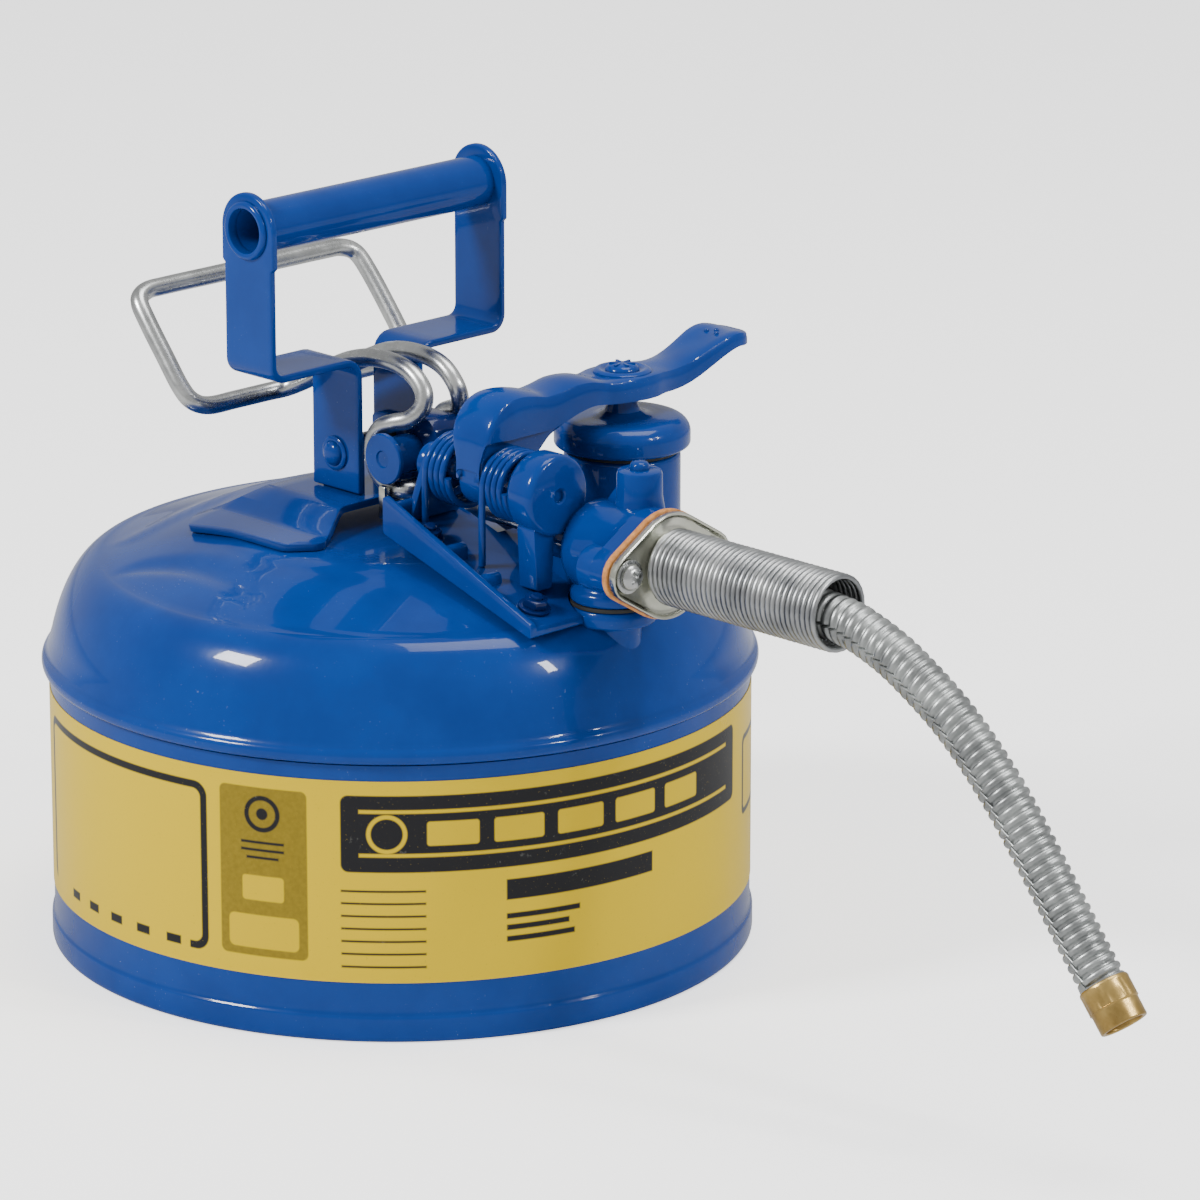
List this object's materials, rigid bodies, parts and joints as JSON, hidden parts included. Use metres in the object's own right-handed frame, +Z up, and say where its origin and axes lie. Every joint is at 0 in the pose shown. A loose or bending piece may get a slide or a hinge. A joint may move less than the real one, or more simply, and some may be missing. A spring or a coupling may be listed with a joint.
{
  "type": "safety gas can",
  "caption": "Round steel safety can with a bail trigger under a hand grip, a sprung self-closing fill lever and cap, and a flexible metal pouring hose.",
  "frame": {"origin": "centre of the foot ring, on the surface that the can stands on", "axes": "+Z up, +X towards the pouring hose, +Y along the hand grip to the side of the fill cap"},
  "size_m": [0.4523, 0.2412, 0.261],
  "materials": {
    "blue_paint": "gloss baked powder coat",
    "bright_steel": "bright plated steel",
    "zinc_plate": "zinc plated, faint yellow tint",
    "galvanised_hose": "interlocked galvanised strip",
    "brass": "satin",
    "brass_mesh": "woven or pierced sheet",
    "black_rubber": "matt",
    "fibre_gasket": "matt pressed fibre",
    "yellow_band": "gloss printed film",
    "dark_steel": "satin"
  },
  "bodies": {
    "root": {"tank_shell": "blue_paint", "tank_bottom": "blue_paint", "tank_dome": "blue_paint", "printed_band": "yellow_band", "saddle_bracket": "blue_paint", "handle_strap_near": "blue_paint", "handle_strap_far": "blue_paint", "grip_tube": "blue_paint", "leg_spacer": "dark_steel", "handle_rivet": "blue_paint", "deck_tray": "blue_paint", "deck_screws": "blue_paint", "inlet_gasket": "black_rubber", "outlet_casting": "blue_paint", "pour_arrester": "brass_mesh", "vent_tube": "zinc_plate", "pivot_block": "blue_paint", "pivot_pin": "blue_paint", "valve_spring": "bright_steel", "fill_neck": "blue_paint", "fill_arrester": "brass_mesh", "hinge_bracket": "blue_paint", "hinge_shaft": "blue_paint", "shaft_head": "blue_paint", "lever_spring_near": "blue_paint", "lever_spring_far": "blue_paint", "hose_gasket": "fibre_gasket", "hose_flange": "zinc_plate", "flange_screws": "bright_steel", "flange_washers": "bright_steel", "strain_spring": "bright_steel", "hose": "galvanised_hose", "hose_ferrule": "brass"},
    "trigger": {"trigger_wire": "bright_steel"},
    "pour_valve": {"valve_yoke": "zinc_plate", "valve_stem": "bright_steel", "valve_seal": "black_rubber"},
    "fill_lever": {"fill_lever": "blue_paint", "lever_screw": "blue_paint", "fill_cap": "blue_paint", "cap_gasket": "black_rubber"}
  },
  "joints": [
    {"name": "trigger_squeeze", "type": "hinge", "parent": "root", "child": "trigger", "pos_m": [0.013, 0, 0.17], "axis": [0, 1, 0], "range_deg": [0, 25], "stiffness_Nm_per_rad": 1.2, "springref_deg": -20.05},
    {"name": "pour_valve_slide", "type": "slide", "parent": "root", "child": "pour_valve", "axis": [-1, 0, 0], "range_m": [0, 0.0046]},
    {"name": "fill_lever_lift", "type": "hinge", "parent": "root", "child": "fill_lever", "pos_m": [0.059, -0.014, 0.172], "axis": [1, 0, 0], "range_deg": [0, 72], "stiffness_Nm_per_rad": 0.8, "springref_deg": -34.38}
  ],
  "couplings": [
    {"joint": "pour_valve_slide", "follows": "trigger_squeeze", "m_per_rad": 0.0103}
  ]
}
